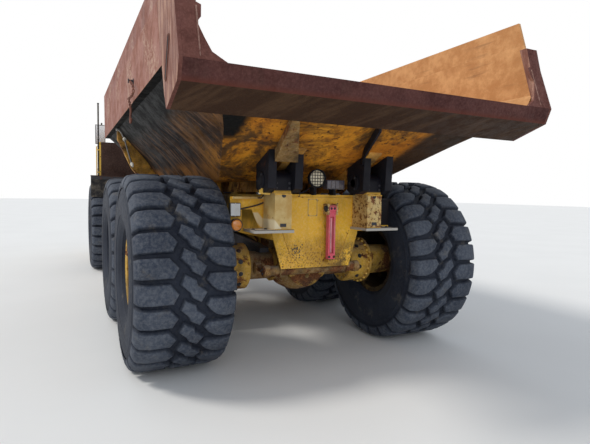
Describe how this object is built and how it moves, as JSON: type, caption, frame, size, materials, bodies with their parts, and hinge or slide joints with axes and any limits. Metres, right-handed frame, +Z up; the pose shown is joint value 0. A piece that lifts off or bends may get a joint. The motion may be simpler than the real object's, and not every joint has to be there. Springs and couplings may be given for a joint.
{
  "type": "articulated dump truck",
  "caption": "Off-road hauler with a steered front unit, a tipping body with sloped tail and wide lugged tyres.",
  "frame": {"origin": "on the ground at the middle of the overall length and width", "axes": "+X forward, +Y to the truck's left, +Z up; the wheels turn about Y"},
  "size_m": [11.35, 3.655, 3.7],
  "materials": {
    "frame_yellow": "worn golden yellow paint with rust spots",
    "axle_paint": "greasy yellow paint",
    "dark_steel": "dark dirty steel",
    "lamp_plastic": "amber and clear lenses",
    "black_plastic": "matt",
    "prop_pink": "faded red paint",
    "body_rust": "rusted steel with worn primer",
    "body_under": "orange-yellow paint, scraped and dirty",
    "cylinder_paint": "greasy yellow paint",
    "rod_chrome": "polished",
    "engine_paint": "dull dark paint",
    "cab_yellow": "faded yellow paint",
    "window_glass": "dusty",
    "cab_trim": "matt",
    "tyre_rubber": "weathered rubber",
    "rim_paint": "worn yellow paint"
  },
  "bodies": {
    "rear_unit": {"rear_frame": "frame_yellow", "mid_axle": "axle_paint", "rear_axle": "axle_paint", "bogie_beams": "dark_steel", "tail_lamps": "lamp_plastic", "work_lamps": "black_plastic"},
    "prop": {"prop_strut": "prop_pink"},
    "dump_body": {"body_tub": "body_rust", "body_front_wall": "body_rust", "sideboards": "body_rust", "tail_lip": "body_rust", "rear_posts": "body_rust", "body_underframe": "body_under"},
    "hoist_barrels": {"hoist_barrels": "cylinder_paint"},
    "hoist_rods": {"hoist_rods": "rod_chrome"},
    "hitch": {"hitch_yoke": "frame_yellow"},
    "front_unit": {"front_frame": "frame_yellow", "front_axle": "axle_paint", "engine": "engine_paint", "headlamps": "lamp_plastic", "front_fenders": "cab_yellow", "rear_guard": "dark_steel", "exhaust_stack": "dark_steel", "mirrors": "black_plastic", "cab_shell": "cab_yellow", "cab_glass": "window_glass", "cab_interior": "cab_trim"},
    "hood": {"hood": "cab_yellow", "grille": "black_plastic"},
    "cab_door": {"cab_door": "cab_yellow", "door_glass": "window_glass"},
    "steer_barrel_left": {"steer_barrel_left": "cylinder_paint"},
    "steer_rod_left": {"steer_rod_left": "rod_chrome"},
    "steer_barrel_right": {"steer_barrel_right": "cylinder_paint"},
    "steer_rod_right": {"steer_rod_right": "rod_chrome"},
    "wheel_rear_left": {"tyre_rear_left": "tyre_rubber", "rim_rear_left": "rim_paint"},
    "wheel_rear_right": {"tyre_rear_right": "tyre_rubber", "rim_rear_right": "rim_paint"},
    "wheel_mid_left": {"tyre_mid_left": "tyre_rubber", "rim_mid_left": "rim_paint"},
    "wheel_mid_right": {"tyre_mid_right": "tyre_rubber", "rim_mid_right": "rim_paint"},
    "wheel_front_left": {"tyre_front_left": "tyre_rubber", "rim_front_left": "rim_paint"},
    "wheel_front_right": {"tyre_front_right": "tyre_rubber", "rim_front_right": "rim_paint"}
  },
  "joints": [
    {"name": "body_tip", "type": "hinge", "parent": "rear_unit", "child": "dump_body", "pos_m": [-4.515, 0, 1.82], "axis": [0, -1, 0], "range_deg": [0, 70]},
    {"name": "hoist_swing", "type": "hinge", "parent": "rear_unit", "child": "hoist_barrels", "pos_m": [-0.605, 0, 0.95], "axis": [0, 1, 0], "range_deg": [0, 20.25]},
    {"name": "hoist_slide", "type": "slide", "parent": "hoist_barrels", "child": "hoist_rods", "axis": [-0.9584, 0, 0.2854], "range_m": [0, 1.5937]},
    {"name": "hitch_roll", "type": "hinge", "parent": "rear_unit", "child": "hitch", "pos_m": [0.695, 0, 1.15], "axis": [1, 0, 0], "range_deg": [-15, 15]},
    {"name": "steer", "type": "hinge", "parent": "hitch", "child": "front_unit", "pos_m": [1.195, 0, 1.15], "axis": [0, 0, 1], "range_deg": [-45, 45]},
    {"name": "hood_tilt", "type": "hinge", "parent": "front_unit", "child": "hood", "pos_m": [5.385, 0, 1.5], "axis": [0, 1, 0], "range_deg": [0, 50]},
    {"name": "cab_door_swing", "type": "hinge", "parent": "front_unit", "child": "cab_door", "pos_m": [2.265, 0.857, 2.75], "axis": [0, 0, 1], "range_deg": [0, 85]},
    {"name": "prop_swing", "type": "hinge", "parent": "rear_unit", "child": "prop", "pos_m": [-4.425, -0.125, 1.56], "axis": [0, 1, 0], "range_deg": [0, 60]},
    {"name": "steer_swing_left", "type": "hinge", "parent": "front_unit", "child": "steer_barrel_left", "pos_m": [2.245, 0.36, 1.02], "axis": [0, 0, 1], "range_deg": [-5.5, 5.5]},
    {"name": "steer_slide_left", "type": "slide", "parent": "steer_barrel_left", "child": "steer_rod_left", "axis": [-1, 0, 0], "range_m": [-0.272, 0.272]},
    {"name": "steer_swing_right", "type": "hinge", "parent": "front_unit", "child": "steer_barrel_right", "pos_m": [2.245, -0.36, 1.02], "axis": [0, 0, 1], "range_deg": [-5.5, 5.5]},
    {"name": "steer_slide_right", "type": "slide", "parent": "steer_barrel_right", "child": "steer_rod_right", "axis": [-1, 0, 0], "range_m": [-0.272, 0.272]},
    {"name": "wheel_rear_left_spin", "type": "hinge", "parent": "rear_unit", "child": "wheel_rear_left", "pos_m": [-3.855, 1.39, 0.935], "axis": [0, 1, 0], "continuous": true},
    {"name": "wheel_rear_right_spin", "type": "hinge", "parent": "rear_unit", "child": "wheel_rear_right", "pos_m": [-3.855, -1.39, 0.935], "axis": [0, 1, 0], "continuous": true},
    {"name": "wheel_mid_left_spin", "type": "hinge", "parent": "rear_unit", "child": "wheel_mid_left", "pos_m": [-1.905, 1.39, 0.935], "axis": [0, 1, 0], "continuous": true},
    {"name": "wheel_mid_right_spin", "type": "hinge", "parent": "rear_unit", "child": "wheel_mid_right", "pos_m": [-1.905, -1.39, 0.935], "axis": [0, 1, 0], "continuous": true},
    {"name": "wheel_front_left_spin", "type": "hinge", "parent": "front_unit", "child": "wheel_front_left", "pos_m": [2.595, 1.39, 0.935], "axis": [0, 1, 0], "continuous": true},
    {"name": "wheel_front_right_spin", "type": "hinge", "parent": "front_unit", "child": "wheel_front_right", "pos_m": [2.595, -1.39, 0.935], "axis": [0, 1, 0], "continuous": true}
  ],
  "couplings": [
    {"joint": "hoist_swing", "follows": "body_tip", "ratio": 0.28912},
    {"joint": "hoist_slide", "follows": "body_tip", "m_per_rad": 1.3036},
    {"joint": "steer_swing_left", "follows": "steer", "ratio": -0.12},
    {"joint": "steer_slide_left", "follows": "steer", "m_per_rad": -0.345},
    {"joint": "steer_swing_right", "follows": "steer", "ratio": -0.12},
    {"joint": "steer_slide_right", "follows": "steer", "m_per_rad": 0.345}
  ]
}
